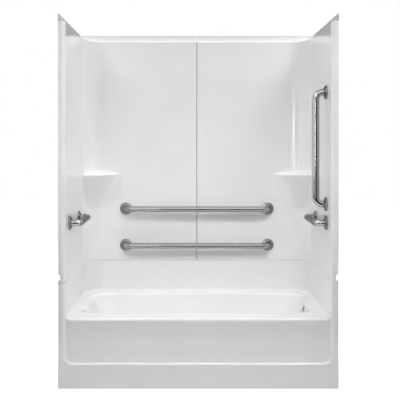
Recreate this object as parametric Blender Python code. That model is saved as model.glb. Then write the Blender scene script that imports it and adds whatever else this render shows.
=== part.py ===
"""Tub and shower unit, moulded in glass fibre in three pieces, with five grab bars.

Lengths are in metres and +Z is up. The open front faces -Y, the drain end is at +X, and the origin lies
on the floor under the middle of the unit.
"""
from math import acos, atan2, cos, hypot, pi, sin, tan

import bmesh
import bpy
from mathutils import Matrix, Vector

# The whole unit
OVERALL_WIDTH = 1.524
OVERALL_DEPTH = 0.838
OVERALL_HEIGHT = 2.035
SHELL = 0.005                # thickness of the laminate
SEAT_GAP = 0.0003            # left between pieces that touch
CUT_OVERRUN = 0.002          # how far a cut runs past the face that it opens
CUT_SHY = 0.0002             # how far a cut stays off a face that it would only graze
LAP = 0.002                  # how far one web of a moulding reaches into the next

# The walls in plan
WALL_INSET = 0.040           # inner face of an end wall, behind the outermost plane
BACK_INSET = 0.030           # inner face of the back wall, before the rearmost plane
FRONT_STRIP = 0.019          # flat part of the front flange
RETURN_LIP = 0.030           # depth of the lip that the front flange turns back into
CORNER_RADIUS = 0.130
SEAM_GAP = 0.003             # between the two panels, and between panels and tub
SEAM_ROUND = 0.008           # rounding of the panels' edges at the centre seam
PANEL_LEDGE = 0.024          # width of the flange that turns out along a panel's foot

# Heights
RIM_HEIGHT = 0.3755
SEAM_HEIGHT = 0.5755
FLANGE_RISE = 0.039          # the top nailing flange above its ledge
TUB_FLANGE_RISE = 0.028      # the tub's own flange, which stands up behind the panels
TUB_FLANGE_SETBACK = 0.065   # where that flange starts, behind the front plane
NOTCH_RISE = 0.026           # the half-round notch in the front flange, above the panel's foot
NOTCH_RADIUS = 0.017

# The tub
APRON_LEDGE_HEIGHT = 0.1355
APRON_CORNER_RADIUS = 0.040
RIM_ROUND = 0.012            # front edge of the rim
FRONT_RIM = 0.160            # front plane to the basin's edge
BACK_LEDGE = 0.040           # basin's edge to the back wall
LEFT_LEDGE = 0.026
RIGHT_LEDGE_BACK = 0.020
RIGHT_LEDGE_FRONT = 0.070
BASIN_DEPTH = 0.300
FRONT_SLOPE = 0.090          # how far each side leans in between rim and floor
BACK_SLOPE = 0.080
LEFT_SLOPE = 0.225
RIGHT_SLOPE = 0.135
RIM_CORNER_RADIUS = 0.105
FLOOR_CORNER_RADIUS = 0.085
RIM_ROLL_SHARE = (0.22, 0.08)     # of slope and depth: where the roll of the rim ends
WALL_FOOT_SHARE = (0.62, 0.80)    # of slope and depth: where the curve into the floor starts
DRAIN_RADIUS = 0.026
DRAIN_FROM_WALL = 0.250      # drain to the inner face of the right end wall
OVERFLOW_RADIUS = 0.020
OVERFLOW_DROP = 0.041        # below the rim

# The corner shelves
SHELF_RISE = 0.5635          # shelf top above the seam
SHELF_ON_SIDE = 0.023        # how far the shelf runs past the round corner, along the end wall
SHELF_ON_BACK = 0.088        # and along the back wall
SHELF_EDGE = 0.014           # height of the shelf's upright front edge
SHELF_BULGE = 0.010          # crown of the front edge in plan
BRACKET_DROP = 0.215         # height of the bracket that tapers away below
BRACKET_FOOT_SHARE = 0.12    # of the shelf's width, at the foot of the bracket
BRACKET_FULLNESS = 0.72      # 1 for a straight taper, less for a fuller bracket
HOLLOW_FOOT_SHARE = 0.42     # of the shelf's width, where the hollow behind it ends
HOLLOW_INSET = 0.010         # from the bracket's edges to the hollow's, along the wall

# The grab bars
TUBE_RADIUS = 0.019
TUBE_WALL = 0.0015
FINGER_GAP = 0.0415          # between wall and tube
ELBOW_RADIUS = 0.040
FLANGE_RADIUS = 0.038
FLANGE_THICKNESS = 0.003
COVER_WALL = 0.0012
COVER_SIDE = 0.008           # upright side of the snap-on cover
COVER_HEIGHT = 0.0155
COVER_SHOULDER_SHARE = 0.12  # of the cover's radius, where the dome starts
BACK_BAR_INSET = 0.133       # from the end of the round corner to a flange's centre
LOWER_BAR_RISE = 0.1015      # heights above the seam
UPPER_BAR_RISE = 0.336
SIDE_BAR_RISE = 0.311
SIDE_BAR_SPAN = 0.360        # centre to centre of the flanges
SIDE_BAR_SETBACK = 0.132     # front plane to the first flange
UPRIGHT_RISE = 0.105         # lower flange of the upright bar, above the bar along the wall
UPRIGHT_HEADROOM = 0.3765    # from its upper flange to the top ledge
UPRIGHT_SETBACK = 0.145

# Screws, boards, gaskets and supports
SCREW_RADIUS = 0.0024
SCREW_HEAD_RADIUS = 0.0042
SCREW_HEAD_HEIGHT = 0.0024
SCREW_CLEARANCE = 0.0003
SCREW_BITE_SHARE = 0.80      # of the board's thickness
BOARD_THICKNESS = 0.018
BOARD_MARGIN = 0.046         # from a flange's centre to the board's edge
GASKET_SETBACK = 0.007       # from the visible face of the walls
GASKET_WIDTH = 0.014
RUNNER_WIDTH = 0.038
RUNNER_INSET = 0.030         # from the long edge of the floor board
FLOOR_BOARD_INSET = 0.045    # from the edge of the basin's flat floor
DRAIN_CLEARANCE = 0.045      # between the drain hole and the floor board

# How finely the round shapes are divided
CORNER_STEPS = 10
EDGE_STEPS = 5
BASIN_CORNER_STEPS = 6
BASIN_CURVE_STEPS = 4
TUBE_SIDES = 16              # the same for tubes, flange plates and covers, so that they nest
ELBOW_STEPS = 4
SCREW_SIDES = 6
DRAIN_SIDES = 24
SCREWS_PER_FLANGE = 3
SHELF_ROWS = 5
SHELF_COLUMNS = 8

# Planes that follow from the sizes
FRONT = -OVERALL_DEPTH / 2
REAR = OVERALL_DEPTH / 2
BACK_FACE = REAR - BACK_INSET
OUTER = OVERALL_WIDTH / 2
SIDE_FACE = OUTER - WALL_INSET
EDGE_ROUND = WALL_INSET - FRONT_STRIP
PANEL_FOOT = SEAM_HEIGHT + SEAM_GAP
TOP_LEDGE = OVERALL_HEIGHT - FLANGE_RISE
FLOOR_HEIGHT = RIM_HEIGHT - BASIN_DEPTH
STANDOFF = FINGER_GAP + TUBE_RADIUS
SCREW_CIRCLE = (TUBE_RADIUS + FLANGE_RADIUS) / 2
BOARD_FACE = SHELL + SEAT_GAP
BITE = BOARD_THICKNESS * SCREW_BITE_SHARE


# Materials

def make_material(name, colour, roughness, metallic=0.0):
    material = bpy.data.materials.new(name)
    material.use_nodes = True
    shader = material.node_tree.nodes["Principled BSDF"]
    shader.inputs["Base Color"].default_value = (*colour, 1.0)
    shader.inputs["Roughness"].default_value = roughness
    shader.inputs["Metallic"].default_value = metallic
    material.diffuse_color = (*colour, 1.0)
    return material


def make_materials():
    return {
        "gelcoat": make_material("white_gelcoat", (0.80, 0.82, 0.82), 0.12),
        "steel": make_material("satin_stainless", (0.55, 0.55, 0.54), 0.30, 1.0),
        "cover": make_material("bright_stainless", (0.62, 0.62, 0.61), 0.22, 1.0),
        "screw": make_material("screw_steel", (0.50, 0.50, 0.50), 0.35, 1.0),
        "board": make_material("plywood", (0.55, 0.38, 0.22), 0.75),
        "runner": make_material("spruce", (0.68, 0.52, 0.33), 0.80),
        "gasket": make_material("grey_butyl", (0.16, 0.16, 0.17), 0.70),
    }


# Meshes

def make_object(name, mesh_data):
    mesh = bpy.data.meshes.new(name)
    mesh_data.to_mesh(mesh)
    mesh_data.free()
    result = bpy.data.objects.new(name, mesh)
    bpy.context.collection.objects.link(result)
    return result


def finish_node(node, material, smooth_angle=None):
    """Gives a piece its material, and its origin in its own middle."""
    points = [vertex.co for vertex in node.data.vertices]
    low, high = (Vector([pick(point[axis] for point in points) for axis in range(3)]) for pick in (min, max))
    middle = (low + high) / 2
    node.data.transform(Matrix.Translation(-middle))
    node.location = middle
    node.data.materials.clear()
    node.data.materials.append(material)
    if smooth_angle is not None:
        node.data.shade_smooth()
        node.data.set_sharp_from_angle(angle=smooth_angle)


def loft(name, rings, ring_shaped=False):
    """Skins a row of equal rings: capped at both ends, or joined last to first."""
    mesh_data = bmesh.new()
    rows = [[mesh_data.verts.new(point) for point in ring] for ring in rings]
    pairs = list(zip(rows, rows[1:]))
    if ring_shaped:
        pairs.append((rows[-1], rows[0]))
    for near, far in pairs:
        for index in range(len(near)):
            following = (index + 1) % len(near)
            mesh_data.faces.new((near[index], near[following], far[following], far[index]))
    if not ring_shaped:
        mesh_data.faces.new(reversed(rows[0]))
        mesh_data.faces.new(rows[-1])
    bmesh.ops.recalc_face_normals(mesh_data, faces=mesh_data.faces)
    return make_object(name, mesh_data)


def prism(name, outline, low, high):
    """An upright block over an outline in plan."""
    return loft(name, [[Vector((x, y, z)) for x, y in outline] for z in (low, high)])


def box(name, low, high):
    outline = [(low[0], low[1]), (high[0], low[1]), (high[0], high[1]), (low[0], high[1])]
    return prism(name, outline, low[2], high[2])


def circle(centre, axis_a, axis_b, radius, sides, turn=0.0):
    """A ring of points, turned by half a side so that flats lie along the axes."""
    angles = [turn + 2 * pi * (index + 0.5) / sides for index in range(sides)]
    return [centre + axis_a * (radius * cos(angle)) + axis_b * (radius * sin(angle)) for angle in angles]


def cross_axes(direction):
    """Two axes square to a direction that lies along X, Y or Z."""
    reference = Vector((0, 0, 1)) if abs(direction.z) < abs(direction.x) + abs(direction.y) else Vector((1, 0, 0))
    axis_a = direction.cross(reference).normalized()
    return axis_a, direction.cross(axis_a).normalized()


def cylinder(name, start, direction, radius, length, sides):
    axis_a, axis_b = cross_axes(direction)
    ends = (start, start + direction * length)
    return loft(name, [circle(end, axis_a, axis_b, radius, sides) for end in ends])


def combine(target, tool, operation):
    """Applies one Boolean and removes the tool."""
    modifier = target.modifiers.new(operation.lower(), "BOOLEAN")
    modifier.operation = operation
    modifier.solver = "EXACT"
    modifier.object = tool
    evaluated = target.evaluated_get(bpy.context.evaluated_depsgraph_get())
    mesh = bpy.data.meshes.new_from_object(evaluated)
    target.modifiers.clear()
    target.data = mesh
    bpy.data.objects.remove(tool)


def add(target, tool):
    combine(target, tool, "UNION")


def cut(target, tool):
    combine(target, tool, "DIFFERENCE")


def join_tools(tools):
    """Puts cutters that don't meet each other into one object, so that one cut does them all."""
    mesh_data = bmesh.new()
    for tool in tools:
        mesh_data.from_mesh(tool.data)
        bpy.data.objects.remove(tool)
    return make_object("cutters", mesh_data)


# Outlines in plan

def arc(centre, radius, start, end, steps):
    angles = [start + (end - start) * index / steps for index in range(steps + 1)]
    return [(centre[0] + radius * cos(angle), centre[1] + radius * sin(angle)) for angle in angles]


def mirrored(points):
    return [(-x, y) for x, y in points]


def offset_path(points, distance):
    """Moves an open path sideways to its left, with mitred corners."""
    result = []
    for index, point in enumerate(points):
        before = points[index - 1] if index else None
        after = points[index + 1] if index + 1 < len(points) else None
        normals = []
        for start, end in ((before, point), (point, after)):
            if start and end:
                run = hypot(end[0] - start[0], end[1] - start[1])
                normals.append(((start[1] - end[1]) / run, (end[0] - start[0]) / run))
        normal_x = sum(normal[0] for normal in normals)
        normal_y = sum(normal[1] for normal in normals)
        scale = distance * len(normals) / (normal_x ** 2 + normal_y ** 2)
        result.append((point[0] + normal_x * scale, point[1] + normal_y * scale))
    return result


def band(points, near, far):
    """The strip between two offsets of a path."""
    return offset_path(points, near) + offset_path(points, far)[::-1]


def front_edge_path():
    """Left front flange: return lip, flat strip and the round into the end wall."""
    round_centre = (-OUTER + FRONT_STRIP, FRONT + EDGE_ROUND)
    lip = [(-OUTER, FRONT + RETURN_LIP), (-OUTER, FRONT)]
    return lip + arc(round_centre, EDGE_ROUND, -pi / 2, 0, EDGE_STEPS)


def corner_path():
    """Round corner between the left end wall and the back wall."""
    return arc((-SIDE_FACE + CORNER_RADIUS, BACK_FACE - CORNER_RADIUS), CORNER_RADIUS, pi, pi / 2, CORNER_STEPS)


def end_wall_path():
    return front_edge_path() + corner_path()


def panel_path():
    """Whole visible face of the left panel, with the flange that turns back at the centre seam."""
    seam_face = -SEAM_GAP / 2
    seam_round = arc((seam_face - SEAM_ROUND, BACK_FACE + SEAM_ROUND), SEAM_ROUND, -pi / 2, 0, EDGE_STEPS)
    return end_wall_path() + seam_round + [(seam_face, REAR - SHELL - SEAM_GAP)]


def tub_path():
    left = end_wall_path()
    return left + mirrored(left)[::-1]


def ledge_outline(face_path):
    """Flat ledge from the visible face out to the side and rear planes, for the left half or the whole."""
    right_end = face_path[-1][0]
    if right_end < 0:
        return face_path[1:-1] + [(right_end, REAR), (-OUTER, REAR)]
    return face_path[1:-1] + [(OUTER, REAR), (-OUTER, REAR)]


# The corner shelf and its bracket

def along_corner(distance, offset):
    """A point on the left corner's face, at a distance from its middle, moved out by an offset."""
    half_arc = CORNER_RADIUS * pi / 4
    centre = (-SIDE_FACE + CORNER_RADIUS, BACK_FACE - CORNER_RADIUS)
    if distance < -half_arc:
        return (-SIDE_FACE - offset, centre[1] + distance + half_arc)
    if distance > half_arc:
        return (centre[0] + distance - half_arc, BACK_FACE + offset)
    angle = pi * 3 / 4 - distance / CORNER_RADIUS
    radius = CORNER_RADIUS + offset
    return (centre[0] + radius * cos(angle), centre[1] + radius * sin(angle))


def shelf_outline(share, behind, inset):
    """Plan of shelf or bracket: along the wall, and back across the corner with a crowned front."""
    half_arc = CORNER_RADIUS * pi / 4
    side_end = -(half_arc + SHELF_ON_SIDE) * share + inset
    back_end = (half_arc + SHELF_ON_BACK) * share - inset
    steps = [side_end + (back_end - side_end) * index / SHELF_COLUMNS for index in range(SHELF_COLUMNS + 1)]
    wall = [along_corner(distance, behind) for distance in steps]
    start, end = Vector(along_corner(side_end, 0)), Vector(along_corner(back_end, 0))
    run = (end - start).normalized()
    forward = Vector((run.y, -run.x))
    front = []
    for index in range(1, SHELF_COLUMNS):
        place = index / SHELF_COLUMNS
        crown = SHELF_BULGE * share * 4 * place * (1 - place)
        front.append(tuple(start.lerp(end, place) + forward * crown))
    return wall + front[::-1]


def shelf_body(name, foot_share, top, behind, inset, side):
    """The shelf's edge and the bracket that narrows towards its foot."""
    edge_foot = SEAM_HEIGHT + SHELF_RISE - SHELF_EDGE
    levels = [(1.0, top), (1.0, edge_foot)]
    for row in range(1, SHELF_ROWS + 1):
        share = 1.0 + (foot_share - 1.0) * row / SHELF_ROWS
        drop = BRACKET_DROP * (1.0 - share ** (1.0 / BRACKET_FULLNESS))
        levels.append((share, edge_foot - drop))
    rings = []
    for share, height in levels:
        outline = shelf_outline(share, behind, inset)
        rings.append([Vector((side * -x, y, height)) for x, y in outline])
    return loft(name, rings)


def add_shelf(panel, side):
    """Moulds the shelf into a panel, hollow behind like the rest of the shell."""
    top = SEAM_HEIGHT + SHELF_RISE
    add(panel, shelf_body("shelf", BRACKET_FOOT_SHARE, top, SHELL / 2, 0, side))
    cut(panel, shelf_body("shelf_hollow", HOLLOW_FOOT_SHARE, top - SHELL, SHELL + CUT_OVERRUN, HOLLOW_INSET, side))


# Grab bars

def bar_list():
    """Name, first flange's centre on the wall, direction, way out of the wall and span of each bar."""
    x_axis, y_axis, z_axis = Vector((1, 0, 0)), Vector((0, 1, 0)), Vector((0, 0, 1))
    side_height = SEAM_HEIGHT + SIDE_BAR_RISE
    side_start = FRONT + SIDE_BAR_SETBACK
    back_end = SIDE_FACE - CORNER_RADIUS - BACK_BAR_INSET
    bars = []
    for name, rise in (("back_upper", UPPER_BAR_RISE), ("back_lower", LOWER_BAR_RISE)):
        start = Vector((-back_end, BACK_FACE, SEAM_HEIGHT + rise))
        bars.append((name, start, x_axis, -y_axis, 2 * back_end))
    for name, side in (("left", -1), ("right", 1)):
        start = Vector((side * SIDE_FACE, side_start, side_height))
        bars.append((name, start, y_axis, -side * x_axis, SIDE_BAR_SPAN))
    upright = Vector((SIDE_FACE, FRONT + UPRIGHT_SETBACK, side_height + UPRIGHT_RISE))
    bars.append(("upright", upright, z_axis, -x_axis, TOP_LEDGE - UPRIGHT_HEADROOM - upright.z))
    return bars


def flange_centres(bar):
    start, along, span = bar[1], bar[2], bar[4]
    return (start, start + along * span)


def screw_places(centre, along, normal):
    """The screws' points on the wall's face, around a flange."""
    across = normal.cross(along)
    places = []
    for index in range(SCREWS_PER_FLANGE):
        angle = pi / 2 + 2 * pi * index / SCREWS_PER_FLANGE
        places.append(centre + (along * cos(angle) + across * sin(angle)) * SCREW_CIRCLE)
    return places


def tube_rings(bar, radius):
    """Rings along a bar's bent tube, from just above the first flange plate to the second."""
    _, start, along, normal, span = bar
    across = normal.cross(along)
    plate_top = SEAT_GAP + FLANGE_THICKNESS
    stations = [(0, plate_top, 0)]
    for step in range(ELBOW_STEPS + 1):
        angle = pi / 2 * step / ELBOW_STEPS
        stations.append((ELBOW_RADIUS * (1 - cos(angle)), STANDOFF - ELBOW_RADIUS * (1 - sin(angle)), angle))
    stations += [(span - run, rise, pi - angle) for run, rise, angle in reversed(stations)]
    rings = []
    for run, rise, angle in stations:
        inward = along * cos(angle) - normal * sin(angle)
        centre = start + along * run + normal * rise
        rings.append(circle(centre, inward, across, radius, TUBE_SIDES))
    return rings


def flange_ring(centre, bar, radius, height, flip):
    along, normal = bar[2], bar[3]
    inward = along * (-1 if flip else 1)
    return circle(centre + normal * height, inward, normal.cross(along), radius, TUBE_SIDES)


def make_bar(bar, material):
    """Bent tube with a round flange plate welded on each end, open to the wall inside."""
    bore = TUBE_RADIUS - TUBE_WALL
    plate_top = SEAT_GAP + FLANGE_THICKNESS
    first, second = flange_centres(bar)
    rings = [flange_ring(first, bar, bore, SEAT_GAP, False),
             flange_ring(first, bar, FLANGE_RADIUS, SEAT_GAP, False),
             flange_ring(first, bar, FLANGE_RADIUS, plate_top, False)]
    rings += tube_rings(bar, TUBE_RADIUS)
    rings += [flange_ring(second, bar, FLANGE_RADIUS, plate_top, True),
              flange_ring(second, bar, FLANGE_RADIUS, SEAT_GAP, True),
              flange_ring(second, bar, bore, SEAT_GAP, True)]
    rings += tube_rings(bar, bore)[::-1]
    node = loft(bar[0] + "_bar", rings, ring_shaped=True)
    drills = []
    for centre in (first, second):
        for place in screw_places(centre, bar[2], bar[3]):
            start = place - bar[3] * CUT_OVERRUN
            depth = plate_top + 2 * CUT_OVERRUN
            drills.append(cylinder("drill", start, bar[3], SCREW_RADIUS + SCREW_CLEARANCE, depth, SCREW_SIDES))
    cut(node, join_tools(drills))
    finish_node(node, material, pi / 5)


def make_cover(name, centre, normal, material):
    """Round cover that snaps over a flange plate and hides its screws."""
    inner = FLANGE_RADIUS + SEAT_GAP
    outer = inner + COVER_WALL
    hole = TUBE_RADIUS + SEAT_GAP
    shoulder = outer * (1 - COVER_SHOULDER_SHARE)
    dome_foot = COVER_SIDE + (COVER_HEIGHT - COVER_SIDE) / 2
    profile = [(outer, SEAT_GAP), (outer, COVER_SIDE), (shoulder, dome_foot), (hole, COVER_HEIGHT),
               (hole, COVER_HEIGHT - COVER_WALL), (shoulder - COVER_WALL, dome_foot - COVER_WALL),
               (inner, COVER_SIDE), (inner, SEAT_GAP)]
    axis_a, axis_b = cross_axes(normal)
    rings = [circle(centre + normal * height, axis_a, axis_b, radius, TUBE_SIDES) for radius, height in profile]
    finish_node(loft(name, rings, ring_shaped=True), material, pi / 5)


def make_screw(name, place, normal, material):
    """Round-headed screw through plate and shell into the board."""
    axis_a, axis_b = cross_axes(normal)
    seat = 2 * SEAT_GAP + FLANGE_THICKNESS
    tip = -(BOARD_FACE + BITE)
    profile = [(SCREW_RADIUS / 2, tip), (SCREW_RADIUS, tip + SCREW_RADIUS), (SCREW_RADIUS, seat),
               (SCREW_HEAD_RADIUS, seat), (SCREW_HEAD_RADIUS, seat + SCREW_HEAD_HEIGHT / 2),
               (SCREW_HEAD_RADIUS / 2, seat + SCREW_HEAD_HEIGHT)]
    rings = [circle(place + normal * height, axis_a, axis_b, radius, SCREW_SIDES) for radius, height in profile]
    finish_node(loft(name, rings), material, pi / 5)


def make_bar_set(bar, materials):
    make_bar(bar, materials["steel"])
    number = 0
    for index, centre in enumerate(flange_centres(bar)):
        make_cover(f"{bar[0]}_cover_{index + 1}", centre, bar[3], materials["cover"])
        for place in screw_places(centre, bar[2], bar[3]):
            number += 1
            make_screw(f"{bar[0]}_screw_{number}", place, bar[3], materials["screw"])


# Boards behind the walls

def board_list(bars):
    """Name of each board, the way out of the wall there, and the flange centres that it backs."""
    upper, lower, left, right, upright = bars
    back_ends = [flange_centres(upper), flange_centres(lower)]
    return [
        ("left_back_board", upper[3], [ends[0] for ends in back_ends]),
        ("right_back_board", upper[3], [ends[1] for ends in back_ends]),
        ("left_side_board", left[3], list(flange_centres(left))),
        ("right_side_board", right[3], list(flange_centres(right))),
        ("upright_board", upright[3], list(flange_centres(upright))),
    ]


def make_board(name, normal, centres, places, material):
    """A board glassed to the back of the shell, with blind holes where the screws bite."""
    low, high = [], []
    for axis in range(3):
        values = [centre[axis] for centre in centres]
        if abs(normal[axis]) > 0.5:
            near = values[0] - normal[axis] * BOARD_FACE
            far = near - normal[axis] * BOARD_THICKNESS
            low.append(min(near, far))
            high.append(max(near, far))
        else:
            low.append(min(values) - BOARD_MARGIN)
            high.append(max(values) + BOARD_MARGIN)
    node = box(name, low, high)
    depth = CUT_OVERRUN + BITE + SEAT_GAP
    drills = []
    for place in places:
        mouth = place - normal * (BOARD_FACE - CUT_OVERRUN)
        drills.append(cylinder("drill", mouth, -normal, SCREW_RADIUS + SCREW_CLEARANCE, depth, SCREW_SIDES))
    cut(node, join_tools(drills))
    finish_node(node, material)


def make_boards(bars, material):
    for name, normal, centres in board_list(bars):
        places = []
        for bar in bars:
            if bar[3] == normal:
                for centre in flange_centres(bar):
                    if centre in centres:
                        places += screw_places(centre, bar[2], bar[3])
        make_board(name, normal, centres, places, material)


# Wall panels

def wall_drills(bars, side):
    """Screw holes through one panel."""
    drills = []
    for bar in bars:
        for centre in flange_centres(bar):
            if centre.x * side > 0:
                for place in screw_places(centre, bar[2], bar[3]):
                    start = place + bar[3] * CUT_OVERRUN
                    depth = SHELL + 2 * CUT_OVERRUN
                    radius = SCREW_RADIUS + SCREW_CLEARANCE
                    drills.append(cylinder("drill", start, -bar[3], radius, depth, SCREW_SIDES))
    return join_tools(drills)


def make_wall_panel(name, side, bars, material):
    """One wall panel: end wall, corner and half of the back wall, with all its flanges."""
    def place(points):
        return points if side < 0 else mirrored(points)

    face = panel_path()
    foot = end_wall_path()[2 + EDGE_STEPS:] + [(-SEAM_GAP / 2 - SHELL, BACK_FACE)]
    side_flange = [(-OUTER, FRONT), (-OUTER, REAR), (-SEAM_GAP / 2, REAR)]
    node = prism(name, place(band(face, 0, SHELL)), PANEL_FOOT, TOP_LEDGE)
    add(node, prism("foot_ledge", place(band(foot, 0, PANEL_LEDGE)), PANEL_FOOT, PANEL_FOOT + SHELL))
    add(node, prism("top_ledge", place(ledge_outline(face)), TOP_LEDGE - SHELL, TOP_LEDGE))
    flange = prism("nailing_flange", place(band(side_flange, 0, -SHELL)), TOP_LEDGE - SHELL, OVERALL_HEIGHT)
    add(node, flange)
    add_shelf(node, side)
    notch_start = Vector((side * OUTER, FRONT - CUT_OVERRUN, PANEL_FOOT + NOTCH_RISE))
    notch_depth = RETURN_LIP + 2 * CUT_OVERRUN
    cut(node, cylinder("notch", notch_start, Vector((0, 1, 0)), NOTCH_RADIUS, notch_depth, DRAIN_SIDES))
    cut(node, wall_drills(bars, side))
    finish_node(node, material, pi / 6)


# The tub

def rounded_outline(corners, radii, steps):
    """A convex outline with an arc in each corner, run anticlockwise."""
    points = []
    for index, corner in enumerate(corners):
        here = Vector(corner)
        before = (Vector(corners[index - 1]) - here).normalized()
        after = (Vector(corners[(index + 1) % len(corners)]) - here).normalized()
        half = acos(max(-1.0, min(1.0, before.dot(after)))) / 2
        radius = radii[index]
        centre = here + (before + after).normalized() * (radius / sin(half))
        start = here + before * (radius / tan(half))
        sweep = pi - 2 * half
        spoke = start - centre
        for step in range(steps + 1):
            turn = sweep * step / steps
            points.append((centre.x + spoke.x * cos(turn) - spoke.y * sin(turn),
                           centre.y + spoke.x * sin(turn) + spoke.y * cos(turn)))
    return points


def basin_outline(share, grow):
    """Plan of the basin, at a share of the way its sides lean in, grown outwards."""
    left = -SIDE_FACE + LEFT_LEDGE + LEFT_SLOPE * share - grow
    right_lean = RIGHT_SLOPE * share - grow
    front = FRONT + FRONT_RIM + FRONT_SLOPE * share - grow
    back = BACK_FACE - BACK_LEDGE - BACK_SLOPE * share + grow
    right_front = SIDE_FACE - RIGHT_LEDGE_FRONT - right_lean
    right_back = SIDE_FACE - RIGHT_LEDGE_BACK - right_lean
    radius = RIM_CORNER_RADIUS + (FLOOR_CORNER_RADIUS - RIM_CORNER_RADIUS) * share + grow
    corners = [(left, front), (right_front, front), (right_back, back), (left, back)]
    return rounded_outline(corners, [radius] * 4, BASIN_CORNER_STEPS)


def basin_profile():
    """Shares of slope and depth from rim to floor: rolled rim, straight side, curve into the floor."""
    roll_in, roll_down = RIM_ROLL_SHARE
    foot_in, foot_down = WALL_FOOT_SHARE
    points = []
    for step in range(BASIN_CURVE_STEPS + 1):
        angle = pi / 2 * step / BASIN_CURVE_STEPS
        points.append((roll_in * sin(angle), roll_down * (1 - cos(angle))))
    for step in range(BASIN_CURVE_STEPS + 1):
        angle = pi / 2 * step / BASIN_CURVE_STEPS
        points.append((foot_in + (1 - foot_in) * (1 - cos(angle)), foot_down + (1 - foot_down) * sin(angle)))
    return points


def basin_rings(skin):
    """Rings of the basin's surface, moved out through the laminate by the skin's thickness."""
    profile = basin_profile()
    rings = []
    for index, (lean, depth) in enumerate(profile):
        before, after = profile[max(index - 1, 0)], profile[min(index + 1, len(profile) - 1)]
        run = (after[0] - before[0]) * FRONT_SLOPE
        fall = (after[1] - before[1]) * BASIN_DEPTH
        steepness = atan2(fall, run) if 0 < index < len(profile) - 1 else 0
        height = RIM_HEIGHT - BASIN_DEPTH * depth - skin * cos(steepness)
        outline = basin_outline(lean, skin * sin(steepness))
        rings.append([Vector((x, y, height)) for x, y in outline])
    return rings


def raised(ring, height):
    return [Vector((point.x, point.y, height)) for point in ring]


def recess_ring(depth, grow, top):
    """The apron's recess seen from the front at one depth: open above, with round lower corners."""
    half_width = SIDE_FACE + grow
    foot = APRON_LEDGE_HEIGHT - grow
    radius = APRON_CORNER_RADIUS + grow
    left = arc((-half_width + radius, foot + radius), radius, pi, 3 * pi / 2, EDGE_STEPS)
    outline = left + mirrored(left)[::-1] + [(half_width, top), (-half_width, top)]
    return [Vector((x, FRONT + depth, z)) for x, z in outline]


def recess_rings(grow, top):
    """The recess's edge is rounded like the front flange, so its outline shrinks with depth."""
    rings = []
    for step in range(EDGE_STEPS + 1):
        angle = pi / 2 * step / EDGE_STEPS
        depth = EDGE_ROUND * (1 - cos(angle))
        rings.append(recess_ring(depth, EDGE_ROUND * (1 - sin(angle)) + grow, top))
    return rings


def make_apron():
    """Skirt, stiles and recessed apron, up to just below the rim's round front edge."""
    top = RIM_HEIGHT - RIM_ROUND - SHELL
    apron = box("apron", (-OUTER, FRONT, 0), (OUTER, FRONT + SHELL, top))
    tray = recess_rings(SHELL, top) + [recess_ring(EDGE_ROUND + SHELL, SHELL, top)]
    add(apron, loft("tray", tray))
    for side in (-1, 1):
        stile = front_edge_path() + [(-SIDE_FACE, FRONT + 2 * EDGE_ROUND)]
        outline = band(stile, 0, SHELL)
        add(apron, prism("stile", outline if side < 0 else mirrored(outline), 0, SEAM_HEIGHT))
    opening = recess_rings(-CUT_SHY, SEAM_HEIGHT + CUT_OVERRUN)
    opening.insert(0, recess_ring(-CUT_OVERRUN, EDGE_ROUND - CUT_SHY, SEAM_HEIGHT + CUT_OVERRUN))
    cut(apron, loft("opening", opening))
    return apron


def make_deck():
    """Rim, end ledges and back ledge in one flat web, with the rim's rounded front."""
    front = FRONT + EDGE_ROUND + CUT_SHY
    foot = RIM_HEIGHT - RIM_ROUND - 2 * SHELL - LAP
    outer = arc((front + RIM_ROUND, RIM_HEIGHT - RIM_ROUND), RIM_ROUND, pi, pi / 2, EDGE_STEPS)
    inner = arc((front + RIM_ROUND, RIM_HEIGHT - RIM_ROUND), RIM_ROUND - SHELL, pi / 2, pi, EDGE_STEPS)
    rear = BACK_FACE + SHELL + CUT_OVERRUN
    profile = [(front, foot)] + outer + [(rear, RIM_HEIGHT), (rear, RIM_HEIGHT - SHELL)] + inner
    profile.append((front + SHELL, foot))
    deck = loft("deck", [[Vector((x, y, z)) for y, z in profile] for x in (-OUTER, OUTER)])
    walls = offset_path(end_wall_path()[1 + EDGE_STEPS:], SHELL / 2)
    walls.insert(0, (-SIDE_FACE - SHELL / 2, FRONT))
    plan = prism("plan", walls + mirrored(walls)[::-1], foot - CUT_OVERRUN, RIM_HEIGHT + CUT_OVERRUN)
    combine(deck, plan, "INTERSECT")
    return deck


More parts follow.
